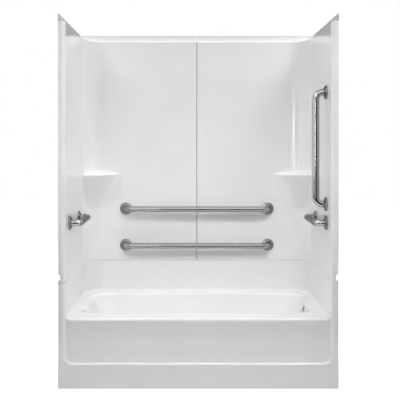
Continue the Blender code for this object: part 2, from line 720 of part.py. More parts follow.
def make_tub(material):
    """Apron, rim, basin, upstand and the ledge that carries the wall panels, as one moulding."""
    node = make_apron()
    node.name = "tub"
    node.data.name = "tub"
    add(node, make_deck())
    face = tub_path()
    add(node, prism("upstand", band(face, 0, SHELL), RIM_HEIGHT - SHELL, SEAM_HEIGHT))
    add(node, prism("ledge", ledge_outline(face), SEAM_HEIGHT - SHELL, SEAM_HEIGHT))
    flange_start = FRONT + TUB_FLANGE_SETBACK
    rear_flange = [(-OUTER, flange_start), (-OUTER, REAR), (OUTER, REAR), (OUTER, flange_start)]
    flange = band(rear_flange, 0, -SHELL)
    add(node, prism("flange", flange, SEAM_HEIGHT - SHELL, SEAM_HEIGHT + TUB_FLANGE_RISE))
    shell_rings = basin_rings(SHELL)
    shell_rings.insert(0, raised(shell_rings[0], RIM_HEIGHT - SHELL / 2))
    add(node, loft("basin", shell_rings))
    hollow = basin_rings(0)
    hollow.insert(0, raised(hollow[0], RIM_HEIGHT + CUT_OVERRUN))
    cut(node, loft("basin_hollow", hollow))
    drain = drain_centre()
    drain_top = drain + Vector((0, 0, CUT_OVERRUN))
    cut(node, cylinder("drain", drain_top, Vector((0, 0, -1)), DRAIN_RADIUS, SHELL + 2 * CUT_OVERRUN, DRAIN_SIDES))
    overflow = Vector((drain.x + DRAIN_RADIUS, drain.y, RIM_HEIGHT - OVERFLOW_DROP))
    overflow_end = SIDE_FACE - SHELL - CUT_OVERRUN - overflow.x
    cut(node, cylinder("overflow", overflow, Vector((1, 0, 0)), OVERFLOW_RADIUS, overflow_end, DRAIN_SIDES))
    node.name = "tub"
    finish_node(node, material, pi / 6)


def basin_middle():
    """Middle of the basin from front to back."""
    return (FRONT + FRONT_RIM + BACK_FACE - BACK_LEDGE) / 2


def drain_centre():
    return Vector((SIDE_FACE - DRAIN_FROM_WALL, basin_middle(), FLOOR_HEIGHT))


# Gaskets and supports

def make_gaskets(material):
    foot = end_wall_path()[2 + EDGE_STEPS:]
    whole = foot + mirrored(foot)[::-1]
    strip = band(whole, GASKET_SETBACK, GASKET_SETBACK + GASKET_WIDTH)
    tub_gasket = prism("tub_seam_gasket", strip, SEAM_HEIGHT + SEAT_GAP, PANEL_FOOT - SEAT_GAP)
    finish_node(tub_gasket, material)
    half = SEAM_GAP / 2 - SEAT_GAP
    low = (-half, BACK_FACE + GASKET_SETBACK, PANEL_FOOT + SEAT_GAP)
    high = (half, BACK_FACE + GASKET_SETBACK + GASKET_WIDTH, TOP_LEDGE - SHELL)
    finish_node(box("centre_seam_gasket", low, high), material)


def make_supports(materials):
    """Board under the basin's flat floor, and two runners that carry it."""
    left = -SIDE_FACE + LEFT_LEDGE + LEFT_SLOPE + FLOOR_BOARD_INSET
    right = drain_centre().x - DRAIN_RADIUS - DRAIN_CLEARANCE
    front = FRONT + FRONT_RIM + FRONT_SLOPE + FLOOR_BOARD_INSET
    back = BACK_FACE - BACK_LEDGE - BACK_SLOPE - FLOOR_BOARD_INSET
    top = FLOOR_HEIGHT - SHELL - SEAT_GAP
    foot = top - BOARD_THICKNESS
    finish_node(box("floor_board", (left, front, foot), (right, back, top)), materials["board"])
    runner_top = foot - SEAT_GAP
    for name, start in (("front_runner", front + RUNNER_INSET), ("back_runner", back - RUNNER_INSET - RUNNER_WIDTH)):
        runner = box(name, (left, start, 0), (right, start + RUNNER_WIDTH, runner_top))
        finish_node(runner, materials["runner"])


def gather_pieces():
    """Hangs all the pieces on one empty at the origin, so that the unit moves as a whole."""
    pieces = list(bpy.context.collection.objects)
    unit = bpy.data.objects.new("unit", None)
    bpy.context.collection.objects.link(unit)
    for piece in pieces:
        piece.parent = unit


def main():
    for old in list(bpy.data.objects):
        bpy.data.objects.remove(old)
    materials = make_materials()
    bars = bar_list()
    make_tub(materials["gelcoat"])
    make_wall_panel("left_wall_panel", -1, bars, materials["gelcoat"])
    make_wall_panel("right_wall_panel", 1, bars, materials["gelcoat"])
    for bar in bars:
        make_bar_set(bar, materials)
    make_boards(bars, materials["board"])
    make_gaskets(materials["gasket"])
    make_supports(materials)
    gather_pieces()


main()
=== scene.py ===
"""Looks of the tub and shower unit: a moulded glass-fibre alcove unit with stainless grab bars."""
from functools import partial
from math import acos, atan2, cos, hypot, pi, radians, sin, sqrt, tan

import bmesh
import bpy
from mathutils import Matrix, Vector


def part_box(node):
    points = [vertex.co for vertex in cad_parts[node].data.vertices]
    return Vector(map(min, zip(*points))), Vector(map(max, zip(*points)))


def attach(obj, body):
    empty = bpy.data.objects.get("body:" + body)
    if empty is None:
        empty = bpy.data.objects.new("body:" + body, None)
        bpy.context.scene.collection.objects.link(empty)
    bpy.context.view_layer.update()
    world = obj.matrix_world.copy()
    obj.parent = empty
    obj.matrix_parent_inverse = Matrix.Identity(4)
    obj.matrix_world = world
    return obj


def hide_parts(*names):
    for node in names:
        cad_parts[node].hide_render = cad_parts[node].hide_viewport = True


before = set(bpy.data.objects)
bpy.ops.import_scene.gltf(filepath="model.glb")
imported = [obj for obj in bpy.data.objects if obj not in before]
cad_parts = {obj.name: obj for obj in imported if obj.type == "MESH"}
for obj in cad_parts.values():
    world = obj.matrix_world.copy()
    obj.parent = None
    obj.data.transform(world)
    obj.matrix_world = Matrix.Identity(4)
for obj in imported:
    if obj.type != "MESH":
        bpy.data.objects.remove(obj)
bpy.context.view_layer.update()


def put_in_scene(name, data):
    thing = bpy.data.objects.new(name, data)
    bpy.context.scene.collection.objects.link(thing)
    return thing


# Camera, level and straight in front

def make_camera():
    data = bpy.data.cameras.new("camera")
    camera = put_in_scene("camera", data)
    camera.location = (-0.050, -4.538, 1.3214)
    camera.rotation_euler = (radians(90), 0, 0)
    data.sensor_fit = "HORIZONTAL"
    data.sensor_width = 36.0
    data.lens = 68.37
    data.shift_x = 0.0273
    data.shift_y = -0.1380
    data.clip_end = 60
    bpy.context.scene.camera = camera


# Sizes of the mouldings
OUTER = 0.7619
SIDE_FACE = 0.722
FRONT = -0.419
REAR = 0.4189
BACK_FACE = 0.389
SHELL = 0.005
CORNER_RADIUS = 0.130
CORNER_CENTRE = (-SIDE_FACE + CORNER_RADIUS, BACK_FACE - CORNER_RADIUS)
HALF_CORNER = CORNER_RADIUS * pi / 4
STRIP = 0.019                # flat part of the front flange
LIP_DEPTH = 0.030            # of the lip that the front flange turns back into
EDGE_ROUND = 0.021           # from the strip into the end wall, and into the recessed apron
APRON_FACE = FRONT + EDGE_ROUND
JOINT_HALF = 0.0015          # half the joint between the two wall panels
FACE_PARTS = ("edge", "wall", "corner", "back")

# Heights
RIM = 0.3755
SEAM = 0.5757                # top of the tub
FOOT = 0.5770                # foot of the wall panels
TOP_LEDGE = 1.996
TOP = 2.035
TRIMMED_RISE = 0.014         # top part of the nailing flange, which the wall board covers

# The tub
APRON_FOOT = 0.1340
APRON_CORNER = 0.040
RIM_FILLET = 0.020
RIM_ROUND = 0.012
TUB_FLANGE_RISE = 0.028
BASIN_DEPTH = 0.300
LEFT_SLOPE = 0.225           # how far each side of the basin comes in from the rim to the floor
RIGHT_SLOPE = 0.135
FRONT_SLOPE = 0.090
BACK_SLOPE = 0.080
DRAIN_PLACE = (0.472, 0.045)
DRAIN_RADIUS = 0.026
DRAIN_ROUND = 0.004
OVERFLOW_PLACE = (0.700, 0.045, RIM - 0.041)
OVERFLOW_RADIUS = 0.020

# The corner shelves and the notches in the front flange
SHELF_TOP = 1.139
SHELF_EDGE = 0.014           # height of the upright front edge
SHELF_ON_SIDE = 0.023        # how far the shelf runs past the round corner, along the end wall
SHELF_ON_BACK = 0.088        # and along the back wall
SHELF_BULGE = 0.010
BRACKET_DROP = 0.215
BRACKET_FULLNESS = 0.72      # 1 for a straight taper, less for a fuller bracket
BRACKET_REACH = BRACKET_DROP + 0.003
BRACKET_ROWS = 25
NOTCH_RISE = 0.026
NOTCH_RADIUS = 0.017


# Plan of the walls

class Column:
    """One upright line of a wall's face: place and facing in plan, and the way out to the nailing flange."""

    def __init__(self, x, y, facing, part, away):
        self.x, self.y = x, y
        self.facing = facing
        self.part = part
        self.away = away
        self.room = 0.0      # length of the way out


def arc_steps(centre, radius, start, end, steps):
    for step in range(steps + 1):
        angle = start + (end - start) * step / steps
        yield centre[0] + radius * cos(angle), centre[1] + radius * sin(angle), angle


def spread(start, end, spacing):
    count = max(1, round(abs(end - start) / spacing))
    return [start + (end - start) * step / count for step in range(count + 1)]


def quarter_round(steps, first=0):
    """Steps of a quarter circle of radius 1: how far it has come one way, and how far it is short of
    its end the other way."""
    for step in range(first, steps + 1):
        angle = 0.5 * pi * step / steps
        yield 1 - cos(angle), 1 - sin(angle)


def wall_columns(with_seam):
    """Left half of the face, from the return lip round the front edge and along the walls."""
    columns = []

    def put(x, y, facing, part, away):
        if not columns or hypot(columns[-1].x - x, columns[-1].y - y) > 1e-5:
            columns.append(Column(x, y, facing, part, away))

    out_left, out_back = (-1.0, 0.0), (0.0, 1.0)
    edge = 0.006
    for y in spread(FRONT + LIP_DEPTH, FRONT + edge, 0.012):
        put(-OUTER, y, out_left, "lip", out_left)
    for x, y, angle in arc_steps((-OUTER + edge, FRONT + edge), edge, pi, 1.5 * pi, 5):
        put(x, y, (cos(angle), sin(angle)), "lip", out_left)
    for x in spread(-OUTER + edge, -OUTER + STRIP, 0.007):
        put(x, FRONT, (0.0, -1.0), "strip", out_left)
    for x, y, angle in list(arc_steps((-OUTER + STRIP, APRON_FACE), EDGE_ROUND, -0.5 * pi, 0, 10))[:-1]:
        put(x, y, (cos(angle), sin(angle)), "round", out_left)
    for y in spread(APRON_FACE, APRON_FACE + RIM_ROUND, 0.002):
        put(-SIDE_FACE, y, (1.0, 0.0), "edge", out_left)
    # Finer columns carry the shelf, on both sides of the round corner
    for y in spread(APRON_FACE + RIM_ROUND, 0.09, 0.045) + spread(0.09, CORNER_CENTRE[1], 0.008):
        put(-SIDE_FACE, y, (1.0, 0.0), "wall", out_left)
    for x, y, angle in arc_steps(CORNER_CENTRE, CORNER_RADIUS, pi, 0.5 * pi, 36):
        put(x, y, (-cos(angle), -sin(angle)), "corner", (cos(angle), sin(angle)))
    seam_round = 0.008
    inner_end = -JOINT_HALF - seam_round if with_seam else 0.0
    for x in spread(CORNER_CENTRE[0], -0.40, 0.008) + spread(-0.40, inner_end, 0.05):
        put(x, BACK_FACE, (0.0, -1.0), "back", out_back)
    if with_seam:
        for x, y, angle in arc_steps((inner_end, BACK_FACE + seam_round), seam_round, -0.5 * pi, 0, 6):
            put(x, y, (cos(angle), sin(angle)), "seam", out_back)
        for y in spread(BACK_FACE + seam_round, 0.411, 0.007):
            put(-JOINT_HALF, y, (1.0, 0.0), "web", out_back)

    side, back = -OUTER + SHELL, REAR - SHELL
    for column in columns:
        reach = []
        if column.away[0] < -1e-6:
            reach.append((side - column.x) / column.away[0])
        if column.away[1] > 1e-6:
            reach.append((back - column.y) / column.away[1])
        column.room = max(soft_least(reach, 0.012), 0.0)
    return columns


def soft_least(values, blend):
    """The smaller of two lengths, rounded off where they meet."""
    if len(values) == 1:
        return values[0]
    gap = max(blend - abs(values[0] - values[1]), 0.0) / blend
    return min(values) - gap * gap * blend / 4


def roll(column, radius):
    """Radius of a top edge's roll: none on the flat front strip, growing round the front edge."""
    share = column.facing[0] if column.part == "round" else 1.0
    return min(radius, 0.45 * column.room) * share


def soft_above_zero(value, blend):
    gap = max(blend - abs(value), 0.0) / blend
    return max(value, 0.0) + gap * gap * blend / 4


# The corner shelf

def corner_point(distance):
    """A point on the face at a distance from the middle of the round corner."""
    if distance < -HALF_CORNER:
        return Vector((-SIDE_FACE, CORNER_CENTRE[1] + distance + HALF_CORNER))
    if distance > HALF_CORNER:
        return Vector((CORNER_CENTRE[0] + distance - HALF_CORNER, BACK_FACE))
    angle = 0.75 * pi - distance / CORNER_RADIUS
    return Vector((CORNER_CENTRE[0] + CORNER_RADIUS * cos(angle),
                   CORNER_CENTRE[1] + CORNER_RADIUS * sin(angle)))


def shelf_depth(column, share):
    """How far the shelf or bracket stands out from the wall here, at a share of its full width."""
    # The end on the back wall stays far out as the bracket narrows, so it fades into that wall
    start = corner_point(-(HALF_CORNER + SHELF_ON_SIDE) * share)
    end = corner_point((HALF_CORNER + SHELF_ON_BACK) * share ** 0.45)
    run = end - start
    if run.length < 1e-6:
        return 0.0
    width = run.length
    run = run / width
    forward = Vector((run.y, -run.x))
    place, facing = Vector((column.x, column.y)), Vector(column.facing)
    slant = facing.dot(forward)
    if slant < 0.1:
        return 0.0
    depth = (start - place).dot(forward) / slant
    hit = (place + facing * depth - start).dot(run) / width
    crown = SHELF_BULGE * share * 4 * max(hit * (1 - hit), -0.2)
    toward_back = min(max((hit - 0.25) / 0.5, 0.0), 1.0)
    # Toward the back wall the bracket runs out over a longer stretch
    blend = 0.012 * min(1.0, 0.3 + share)
    blend += 0.085 * toward_back * sqrt(max(1 - share, 0.0)) * min(1.0, 1.4 * share)
    return soft_above_zero(depth + crown / slant, blend) * sqrt(share)


def shelf_rows(column):
    """(height, distance from the wall) from the bracket's foot up over the shelf to the wall above it."""
    deep = shelf_depth(column, 1.0) if column.part in ("wall", "corner", "back") else 0.0
    rows = []
    foot = SHELF_TOP - SHELF_EDGE
    for step in range(BRACKET_ROWS):
        drop = BRACKET_REACH * (1 - step / (BRACKET_ROWS - 1))
        share = max(1 - drop / BRACKET_DROP, 0.0) ** BRACKET_FULLNESS
        depth = shelf_depth(column, share) if deep > 0 and share > 0 else 0.0
        rows.append((foot - drop, depth))
    rows.append((foot + 0.004, deep))
    nose = min(0.008, 0.4 * deep)
    for gone, short in quarter_round(6):
        rows.append((SHELF_TOP - nose * short, deep - nose * gone))
    heel = min(0.024, 0.4 * deep)
    for step in range(1, 5):
        rows.append((SHELF_TOP, deep - nose - (deep - nose - heel) * step / 5))
    for gone, short in quarter_round(7):
        rows.append((SHELF_TOP + heel * gone, heel * short))
    blend = min(deep / 0.010, 1.0)
    blend = blend * blend * (3 - 2 * blend)
    # Where the shelf runs out the rows above its foot are evenly spaced
    above = len(rows) - BRACKET_ROWS
    result = rows[:BRACKET_ROWS]
    for index, (height, depth) in enumerate(rows[BRACKET_ROWS:], 1):
        plain = foot + (SHELF_TOP + 0.016 - foot) * index / above
        result.append((plain + (height - plain) * blend, depth))
    return result


# Surfaces as grids of points

def skin(mesh_data, lines, keep=lambda column, row: True, turned=False):
    """Skins lines of vertices, column by column, where keep says so."""
    for column, (here, following) in enumerate(zip(lines, lines[1:])):
        for row in range(len(here) - 1):
            if keep(column, row):
                corners = here[row], following[row], following[row + 1], here[row + 1]
                mesh_data.faces.new(corners[::-1] if turned else corners)


def circle(centre, first, second, radius, sides):
    """Points round a centre, from the first way toward the second."""
    turns = [2 * pi * step / sides for step in range(sides)]
    return [centre + (first * cos(turn) + second * sin(turn)) * radius for turn in turns]


def vertices(mesh_data, grid):
    return [[mesh_data.verts.new(point) for point in line] for line in grid]


def panel_grid():
    """The face of the left wall panel."""
    columns = wall_columns(True)
    grid = []
    for column in columns:
        line, kinds = [], []

        def put(height, out=0.0, depth=0.0, kind="plain"):
            x = column.x + column.away[0] * out + column.facing[0] * depth
            y = column.y + column.away[1] * out + column.facing[1] * depth
            line.append(Vector((x, y, height)))
            kinds.append(kind)

        turned = column.part in FACE_PARTS
        foot_flange, foot_round, top_round = 0.024, 0.003, 0.008
        put(FOOT, foot_flange if turned else 0.0, kind="foot")
        for step, (gone, short) in enumerate(quarter_round(3)):
            put(FOOT + foot_round * gone + 1e-5 * step, foot_round * short if turned else 0.0)
        bracket_foot = SHELF_TOP - SHELF_EDGE - BRACKET_REACH
        for height in spread(FOOT + foot_round, bracket_foot, 0.075)[1:-1]:
            put(height)
        for height, depth in shelf_rows(column):
            put(height, depth=depth)
        for height in spread(SHELF_TOP + 0.020, TOP_LEDGE - 0.010, 0.09)[1:]:
            put(height)
        bend = roll(column, top_round)
        turned = turned or column.part in ("round", "seam")
        for step, (gone, short) in enumerate(quarter_round(5)):
            put(TOP_LEDGE - (bend * short if turned else top_round * (1 - step / 5)),
                bend * gone if turned else 0.0, kind="plain" if step < 5 else "ledge")
        bend = min(top_round, 0.45 * column.room)
        for gone, short in quarter_round(6):
            put(TOP_LEDGE + bend * gone, column.room - bend * short, kind="ledge")
        put(TOP - TRIMMED_RISE, column.room, kind="ledge")
        put(TOP, column.room, kind="ledge")
        grid.append(line)

    def keep(column, row):
        here, following = columns[column].part, columns[column + 1].part
        if kinds[row] == "foot":
            return here in FACE_PARTS and following in FACE_PARTS
        if kinds[row] == "ledge":
            flat = ("lip", "strip", "web")
            return here not in flat and following not in flat
        return True

    return grid, keep


# The tub

def upstand_grid():
    """Walls of the tub from the rim's fillet up to the ledge that carries the wall panels, left half."""
    columns = wall_columns(False)
    grid = []
    for column in columns:
        line, kinds = [], []

        def put(height, out, kind="plain"):
            x = column.x + column.away[0] * max(out, 0.0) + column.facing[0] * max(-out, 0.0)
            y = column.y + column.away[1] * max(out, 0.0) + column.facing[1] * max(-out, 0.0)
            line.append(Vector((x, y, height)))
            kinds.append(kind)

        turned = column.part in FACE_PARTS
        over = min(max(APRON_FACE + RIM_ROUND - column.y, 0.0), RIM_ROUND)
        sunk = RIM_ROUND - sqrt(RIM_ROUND ** 2 - over ** 2) if turned else 0.0
        for step, (gone, short) in enumerate(quarter_round(7)):
            put(RIM + RIM_FILLET * gone - sunk * (1 - step / 7), -RIM_FILLET * short if turned else 0.0,
                "fillet" if step < 7 else "plain")
        for height in spread(RIM + RIM_FILLET, SEAM - 0.006, 0.05)[1:-1]:
            put(height, 0.0)
        edge = 0.005
        bend = roll(column, edge)
        rolled = column.part not in ("lip", "strip")
        # The front edge stands 4 mm lower, so the joint opens where it meets the flange
        low = 0.004 * {"lip": 1.0, "strip": 1.0, "round": 1.0 - column.facing[0]}.get(column.part, 0.0)
        for step, (gone, short) in enumerate(quarter_round(4)):
            put(SEAM - low - (bend * short if rolled else edge * (1 - step / 4)),
                bend * gone if rolled else 0.0, "plain" if step < 4 else "ledge")
        bend = min(edge, 0.45 * column.room)
        for step, (gone, short) in enumerate(quarter_round(4)):
            put(SEAM - low + bend * gone, column.room - bend * short, "ledge" if step < 4 else "flange")
        put(SEAM + TUB_FLANGE_RISE, column.room, "flange")
        grid.append(line)

    def keep(column, row):
        here, following = columns[column], columns[column + 1]
        if kinds[row] == "fillet":
            return here.part in FACE_PARTS
        if kinds[row] == "ledge":
            return here.part not in ("lip", "strip")
        if kinds[row] == "flange":
            return here.part not in ("lip", "strip", "round") and here.y > FRONT + 0.060
        return True

    return grid, keep, columns


def basin_ring(share, depth, steps=14):
    """One level line of the basin: a rounded outline whose right end runs slantwise."""
    left = -SIDE_FACE + 0.026 + LEFT_SLOPE * share
    front, back = FRONT + 0.160 + FRONT_SLOPE * share, BACK_FACE - 0.025 - BACK_SLOPE * share
    right = SIDE_FACE - RIGHT_SLOPE * share
    outline = ((left, front), (right - 0.070, front), (right - 0.024, back), (left, back))
    corners = [Vector(corner) for corner in outline]
    radii = [radius - 0.020 * share for radius in (0.125, 0.125, 0.120, 0.120)]
    height = RIM - BASIN_DEPTH * depth

    def sides(index):
        """Ways from a corner to the corners before and after it, and half the angle between them."""
        before, after = ((corners[(index + way) % 4] - corners[index]).normalized() for way in (-1, 1))
        return before, after, acos(before.dot(after)) / 2

    points = []
    for index, here in enumerate(corners):
        before, after, half = sides(index)
        centre = here + (before + after).normalized() * (radii[index] / sin(half))
        spoke = here + before * (radii[index] / tan(half)) - centre
        for step in range(steps + 1):
            turn = (pi - 2 * half) * step / steps
            points.append(Vector((centre.x + spoke.x * cos(turn) - spoke.y * sin(turn),
                                  centre.y + spoke.x * sin(turn) + spoke.y * cos(turn), height)))
        last = points[-1]
        target = (index + 1) % 4
        before, after, half = sides(target)
        following = corners[target] + before * (radii[target] / tan(half))
        for part in (step / 8 for step in range(1, 8)):
            points.append(Vector((last.x + (following.x - last.x) * part,
                                  last.y + (following.y - last.y) * part, height)))
    return points


def basin_levels():
    """(share of the slope, share of the depth) down the rounded rim, the side and the round foot."""
    top, foot = (0.22, 0.08), (0.62, 0.80)
    for gone, short in quarter_round(8):
        yield top[0] * (1 - short), top[1] * gone
    for part in (step / 6 for step in range(1, 6)):
        yield top[0] + (foot[0] - top[0]) * part, top[1] + (foot[1] - top[1]) * part
    for gone, short in quarter_round(10):
        yield foot[0] + (1 - foot[0]) * gone, 1 - (1 - foot[1]) * short


def drain_ring(gone, short):
    """A ring of the drain hole's rounded edge."""
    centre = Vector((*DRAIN_PLACE, RIM - BASIN_DEPTH - DRAIN_ROUND * gone))
    return circle(centre, Vector((1, 0, 0)), Vector((0, 1, 0)), DRAIN_RADIUS + DRAIN_ROUND * short, 40)


def skin_between(mesh_data, upper, lower):
    """Skins the band between two closed rings."""
    for index, here in enumerate(upper):
        following = (index + 1) % len(upper)
        mesh_data.faces.new((here, upper[following], lower[following], lower[index]))


def fill_between(mesh_data, *loops):
    """Fills a flat region between loops of existing vertices."""
    edges = []
    for loop in loops:
        for here, following in zip(loop, loop[1:] + loop[:1]):
            edge = mesh_data.edges.get((here, following)) or mesh_data.edges.new((here, following))
            edges.append(edge)
    bmesh.ops.triangle_fill(mesh_data, use_beauty=True, use_dissolve=False, edges=edges)


def tub_inside():
    """Basin, rim, upstand and ledge as one open surface."""
    mesh_data = bmesh.new()
    grid, keep, columns = upstand_grid()
    left = vertices(mesh_data, grid)
    right = vertices(mesh_data, [[(-x, y, z) for x, y, z in line] for line in grid[:-1]]) + left[-1:]
    skin(mesh_data, left, keep)
    skin(mesh_data, right, keep, turned=True)
    rings = vertices(mesh_data, [basin_ring(share, depth) for share, depth in basin_levels()])
    for upper, lower in zip(rings, rings[1:]):
        skin_between(mesh_data, upper, lower)
    start = next(index for index, column in enumerate(columns)
                 if column.part in ("edge", "wall") and column.y > APRON_FACE + RIM_ROUND - 1e-6)
    path = [line[0] for line in left[start:]] + [line[0] for line in right[start:-1]][::-1]
    fill_between(mesh_data, path, rings[0])
    drain = vertices(mesh_data, [drain_ring(gone, short) for gone, short in quarter_round(5)])
    fill_between(mesh_data, rings[-1], drain[0])
    for upper, lower in zip(drain, drain[1:]):
        skin_between(mesh_data, upper, lower)
    previous = path[0], path[-1]
    for gone, short in quarter_round(8, first=1):
        y, z = APRON_FACE + RIM_ROUND * short, RIM - RIM_ROUND * gone
        pair = [mesh_data.verts.new((vertex.co.x, y, z)) for vertex in previous]
        mesh_data.faces.new((previous[0], pair[0], pair[1], previous[1]))
        previous = pair
    return mesh_data


def apron_surface():
    """Stiles, skirt and recessed apron, from the return lips to the recess's foot."""
    mesh_data = bmesh.new()
    centre = (-SIDE_FACE + APRON_CORNER, APRON_FOOT + APRON_CORNER)
    path = [(-SIDE_FACE, z, (-1.0, 0.0)) for z in spread(RIM + RIM_FILLET, centre[1], 0.03)]
    mitre = pi + atan2(centre[1], centre[0] + OUTER)
    for start, end, steps in ((pi, mitre, 13), (mitre, 1.5 * pi, 6)):
        for x, z, angle in list(arc_steps(centre, APRON_CORNER, start, end, steps))[1:]:
            path.append((x, z, (cos(angle), sin(angle))))
    path += [(x, APRON_FOOT, (0.0, -1.0)) for x in spread(centre[0], 0.0, 0.08)[1:]]
    path += [(-x, z, (-away[0], away[1])) for x, z, away in reversed(path[:-1])]
    lines = []
    for x, z, away in path:
        reach = []
        if abs(away[0]) > 1e-6:
            reach.append((OUTER - abs(x)) / abs(away[0]))
        if away[1] < -1e-6:
            reach.append(z / -away[1])
        room = min(reach)
        low = max(-away[1], 0.0)
        edge = 0.0012 + 0.0048 * (1 - low)
        front_round = EDGE_ROUND - 0.015 * low
        # The stile meets the apron sharply, and with a fillet that grows below a height of 0.3 m
        soft = min(max((0.30 - z) / 0.12, 0.0), 1.0)
        soft = 0.0004 + 0.0030 * soft * soft * (3 - 2 * soft)
        floor = EDGE_ROUND - soft
        deep = min(front_round, floor)
        profile = [(room, LIP_DEPTH), (room, 0.018)]
        for gone, short in quarter_round(5):
            profile.append((room - edge * gone, edge * short))
        for share in (0.5, 1.0):
            profile.append((room - edge + (front_round - room + edge) * share, 0.0))
        for gone, short in quarter_round(10, first=1):
            profile.append((front_round * short, deep * gone))
        # The recess's foot is a ledge that falls to the front
        fall = 0.0015 * low
        profile.append((-fall / 2, (deep + floor) / 2))
        profile.append((-fall, floor))
        for gone, short in quarter_round(5, first=1):
            profile.append((-fall - soft * gone, floor + soft * (1 - short)))
        lines.append([(x + away[0] * out, FRONT + depth, z + away[1] * out) for out, depth in profile])
    rows = vertices(mesh_data, lines)
    skin(mesh_data, rows)
    inner = [line[-1] for line in rows]
    brow = []
    for step, (gone, short) in enumerate(quarter_round(7, first=1), 1):
        brow.append((-SIDE_FACE + RIM_FILLET * gone, RIM + RIM_FILLET * short - RIM_ROUND * step / 7))
    top = [mesh_data.verts.new((x, APRON_FACE, z)) for x, z in brow]
    top_right = [mesh_data.verts.new((-x, APRON_FACE, z)) for x, z in brow]
    fill_between(mesh_data, inner + top_right + top[::-1])
    return mesh_data


# Turning surfaces into mouldings

def tidy_surface(mesh_data, place, facing):
    """Drops unused points, joins doubles and turns the faces so that the one at a place faces a given way."""
    loose = [vertex for vertex in mesh_data.verts if not vertex.link_faces]
    bmesh.ops.delete(mesh_data, geom=loose, context="VERTS")
    bmesh.ops.remove_doubles(mesh_data, verts=mesh_data.verts, dist=1e-5)
    bmesh.ops.recalc_face_normals(mesh_data, faces=mesh_data.faces)
    nearest = min(mesh_data.faces, key=lambda face: (face.calc_center_median() - Vector(place)).length)
    if nearest.normal.dot(Vector(facing)) < 0:
        bmesh.ops.reverse_faces(mesh_data, faces=mesh_data.faces)


def new_object(name, mesh_data):
    mesh = bpy.data.meshes.new(name)
    mesh_data.to_mesh(mesh)
    mesh_data.free()
    return put_in_scene(name, mesh)


def bake(piece):
    """Applies a piece's modifiers to its mesh."""
    evaluated = piece.evaluated_get(bpy.context.evaluated_depsgraph_get())
    mesh = bpy.data.meshes.new_from_object(evaluated)
    piece.modifiers.clear()
    piece.data = mesh


def laminate(piece):
    """Gives a surface the thickness of the laminate, with the raw back as another material; the flange top
    and the left front strip get a greyer gelcoat, which on the strip is painted shade.
    """
    for material in (gelcoat, greyer_flange_and_strip_shade, raw_laminate):
        piece.data.materials.append(material)
    for face in piece.data.polygons:
        # The flat strip of the left front flange gets the greyer gelcoat as painted shade; the flange top
        # gets the same grey
        left_strip_painted_shade = face.center.y < FRONT + 0.002 and OUTER + face.center.x < STRIP
        if face.center.z > TOP - TRIMMED_RISE or left_strip_painted_shade and face.center.z > SEAM:
            face.material_index = 1
    solid = piece.modifiers.new("laminate", "SOLIDIFY")
    solid.thickness = SHELL
    solid.offset = -1
    solid.use_even_offset = True
    solid.material_offset = 2
    solid.material_offset_rim = 2
    bake(piece)


def cut(piece, cutter, material):
    """Cuts a hole whose edge shows the given material."""
    cutter.data.materials.append(material)
    modifier = piece.modifiers.new("cut", "BOOLEAN")
    modifier.operation = "DIFFERENCE"
    modifier.solver = "EXACT"
    modifier.material_mode = "TRANSFER"
    modifier.object = cutter
    bake(piece)
    bpy.data.objects.remove(cutter)


def rod(name, start, end, radius, sides=40):
    """A round solid between two points."""
    start, end = Vector(start), Vector(end)
    mesh_data = bmesh.new()
    bmesh.ops.create_cone(mesh_data, cap_ends=True, segments=sides, radius1=radius,
                          radius2=radius, depth=(end - start).length)
    turn = (end - start).to_track_quat("Z", "Y").to_matrix().to_4x4()
    mesh_data.transform(Matrix.Translation((start + end) / 2) @ turn)
    return new_object(name, mesh_data)


def join(target, *others):
    mesh_data = bmesh.new()
    for piece in (target, *others):
        mesh_data.from_mesh(piece.data)
    mesh_data.to_mesh(target.data)
    mesh_data.free()
    for piece in others:
        bpy.data.objects.remove(piece)


def smooth(piece, angle=35):
    piece.data.shade_smooth()
    piece.data.set_sharp_from_angle(angle=radians(angle))
    weighted = piece.modifiers.new("facing", "WEIGHTED_NORMAL")
    weighted.keep_sharp = True
    weighted.weight = 100


def place_piece(piece, slot, *nodes):
    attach(piece, "root")
    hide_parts(*nodes)


def make_wall_panel(name, side, node):
    grid, keep = panel_grid()
    mesh_data = bmesh.new()
    skin(mesh_data, vertices(mesh_data, grid), keep)
    if side > 0:
        bmesh.ops.transform(mesh_data, matrix=Matrix.Diagonal((-1, 1, 1, 1)), verts=mesh_data.verts)
    tidy_surface(mesh_data, (side * SIDE_FACE, -0.2, 1.5), (-side, 0, 0))
    panel = new_object(name, mesh_data)
    laminate(panel)
    start, end = (Vector((side * OUTER, FRONT + depth, FOOT + NOTCH_RISE)) for depth in (-0.002, 0.034))
    cut(panel, rod("notch", start, end, NOTCH_RADIUS), raw_laminate)
    smooth(panel)
    place_piece(panel, "gelcoat", node)


def make_tub():
    mesh_data = tub_inside()
    tidy_surface(mesh_data, (0, 0.36, RIM), (0, 0, 1))
    inside = new_object("tub_moulding", mesh_data)
    laminate(inside)
    place, along = Vector(OVERFLOW_PLACE), Vector((1, 0, 0))
    boss = rod("overflow_boss", place - 0.008 * along, place + 0.012 * along, OVERFLOW_RADIUS + 0.012, 48)
    boss.data.materials.append(raw_laminate)
    join(inside, boss)
    hole = rod("overflow", place - 0.180 * along, place + 0.020 * along, OVERFLOW_RADIUS)
    # The hole's cut edge is painted black: painted shade for the dark inside of the hole
    cut(inside, hole, overflow_hole_shade)
    mesh_data = apron_surface()
    tidy_surface(mesh_data, (0, FRONT, 0.05), (0, -1, 0))
    apron = new_object("apron", mesh_data)
    laminate(apron)
    join(inside, apron)
    smooth(inside)
    place_piece(inside, "gelcoat", "tub")


# Grab bars and their covers

